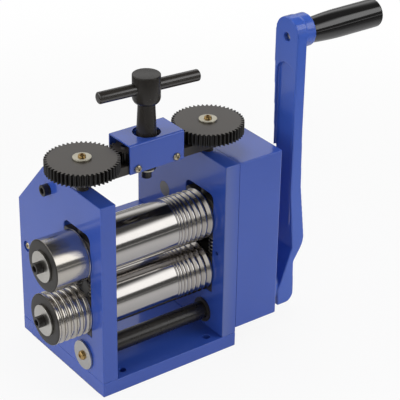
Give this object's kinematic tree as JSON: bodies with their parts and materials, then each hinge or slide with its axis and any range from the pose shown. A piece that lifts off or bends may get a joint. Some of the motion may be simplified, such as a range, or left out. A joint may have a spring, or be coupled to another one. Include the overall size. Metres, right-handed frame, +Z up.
{
  "type": "jewellers rolling mill",
  "caption": "Bench rolling mill with flat and grooved rolls, side extension rollers, geared top screw adjustment, gearbox and hand crank for thinning sheet and wire.",
  "frame": {"origin": "centre of the base plate's underside, on the bench surface", "axes": "+X from the extension rollers to the crank, along the rolls; +Y to the rear; +Z up"},
  "size_m": [0.3432, 0.13, 0.2845],
  "materials": {
    "blue_paint": "glossy blue enamel",
    "ground_steel": "ground and hardened steel",
    "bright_steel": "turned bright steel",
    "black_oxide": "black oxide, slightly oily",
    "zinc_plate": "bright zinc plate",
    "yellow_zinc": "yellow zinc plate",
    "bronze": "sintered bronze",
    "black_plastic": "glossy black phenolic"
  },
  "bodies": {
    "frame": {"base_plate": "blue_paint", "left_side_plate": "blue_paint", "right_side_plate": "blue_paint", "rear_tie_bar": "blue_paint", "tie_bar_screws": "yellow_zinc", "frame_screws": "black_oxide", "left_plate_screw": "black_oxide", "gearbox_cover": "blue_paint", "cover_stays": "bright_steel", "cover_screws": "yellow_zinc", "lower_bearing_blocks": "black_oxide", "lower_bushes": "bronze", "shaft_bushes": "bronze", "lift_springs": "bright_steel"},
    "carriage": {"upper_bearing_blocks": "black_oxide", "upper_bushes": "bronze", "cross_bar": "black_oxide", "channel_cover": "blue_paint", "channel_screws": "yellow_zinc", "handle_bush": "bronze", "idler_pins": "bright_steel"},
    "upper_roll": {"upper_roll": "ground_steel", "upper_extension_roller": "ground_steel", "upper_thrust_ring": "bright_steel", "upper_extension_washer": "zinc_plate", "upper_extension_screw": "black_oxide", "upper_roll_gear": "bright_steel", "upper_roll_clip": "black_oxide"},
    "lower_roll": {"lower_roll": "ground_steel", "lower_extension_roller": "ground_steel", "lower_thrust_ring": "bright_steel", "lower_extension_washer": "zinc_plate", "lower_extension_screw": "black_oxide", "lower_roll_gear": "bright_steel", "drive_gear": "bright_steel", "lower_roll_clip": "black_oxide"},
    "crank": {"drive_shaft": "black_oxide", "drive_pinion": "bright_steel", "shaft_washer": "zinc_plate", "shaft_screw": "yellow_zinc", "crank_arm": "blue_paint", "crank_washer": "zinc_plate", "crank_screw": "black_oxide", "grip_bolt": "bright_steel"},
    "grip": {"crank_grip": "black_plastic"},
    "handle": {"t_handle": "black_oxide", "t_bar": "black_oxide", "handle_pinion": "black_oxide", "handle_washer": "zinc_plate", "handle_screw": "black_oxide"},
    "left_idler": {"left_idler_gear": "black_oxide"},
    "right_idler": {"right_idler_gear": "black_oxide"},
    "left_screw": {"left_adjusting_gear": "black_oxide", "left_adjusting_screw": "black_oxide", "left_gear_washer": "zinc_plate", "left_gear_screw": "yellow_zinc"},
    "right_screw": {"right_adjusting_gear": "black_oxide", "right_adjusting_screw": "black_oxide", "right_gear_washer": "zinc_plate", "right_gear_screw": "yellow_zinc"}
  },
  "joints": [
    {"name": "carriage_lift", "type": "slide", "parent": "frame", "child": "carriage", "axis": [0, 0, 1], "range_m": [-0.0061, 0.0008], "deforming": ["lift_springs"]},
    {"name": "handle_turn", "type": "hinge", "parent": "carriage", "child": "handle", "pos_m": [0, -0.0282, 0.25], "axis": [0, 0, 1], "range_deg": [-3990, 525]},
    {"name": "left_idler_turn", "type": "hinge", "parent": "carriage", "child": "left_idler", "pos_m": [-0.0216, -0.0282, 0.2], "axis": [0, 0, 1], "range_deg": [-525, 3990]},
    {"name": "right_idler_turn", "type": "hinge", "parent": "carriage", "child": "right_idler", "pos_m": [0.0216, -0.0282, 0.2], "axis": [0, 0, 1], "range_deg": [-525, 3990]},
    {"name": "left_screw_turn", "type": "hinge", "parent": "carriage", "child": "left_screw", "pos_m": [-0.0618, -0.0282, 0.2], "axis": [0, 0, 1], "range_deg": [-1466, 193]},
    {"name": "right_screw_turn", "type": "hinge", "parent": "carriage", "child": "right_screw", "pos_m": [0.0618, -0.0282, 0.2], "axis": [0, 0, 1], "range_deg": [-1466, 193]},
    {"name": "crank_turn", "type": "hinge", "parent": "frame", "child": "crank", "pos_m": [0.12, -0.0363, 0.028], "axis": [1, 0, 0], "continuous": true},
    {"name": "lower_roll_turn", "type": "hinge", "parent": "frame", "child": "lower_roll", "pos_m": [0, -0.0282, 0.0701], "axis": [1, 0, 0], "continuous": true},
    {"name": "upper_roll_turn", "type": "hinge", "parent": "carriage", "child": "upper_roll", "pos_m": [0, -0.0282, 0.1213], "axis": [1, 0, 0], "continuous": true},
    {"name": "grip_turn", "type": "hinge", "parent": "crank", "child": "grip", "pos_m": [0.19, -0.0363, 0.267], "axis": [1, 0, 0], "continuous": true}
  ],
  "couplings": [
    {"joint": "handle_turn", "follows": "carriage_lift", "rad_per_m": 11403},
    {"joint": "left_idler_turn", "follows": "carriage_lift", "rad_per_m": -11403},
    {"joint": "right_idler_turn", "follows": "carriage_lift", "rad_per_m": -11403},
    {"joint": "left_screw_turn", "follows": "carriage_lift", "rad_per_m": 4188.8},
    {"joint": "right_screw_turn", "follows": "carriage_lift", "rad_per_m": 4188.8},
    {"joint": "lower_roll_turn", "follows": "crank_turn", "ratio": -0.4},
    {"joint": "upper_roll_turn", "follows": "crank_turn", "ratio": 0.4}
  ]
}
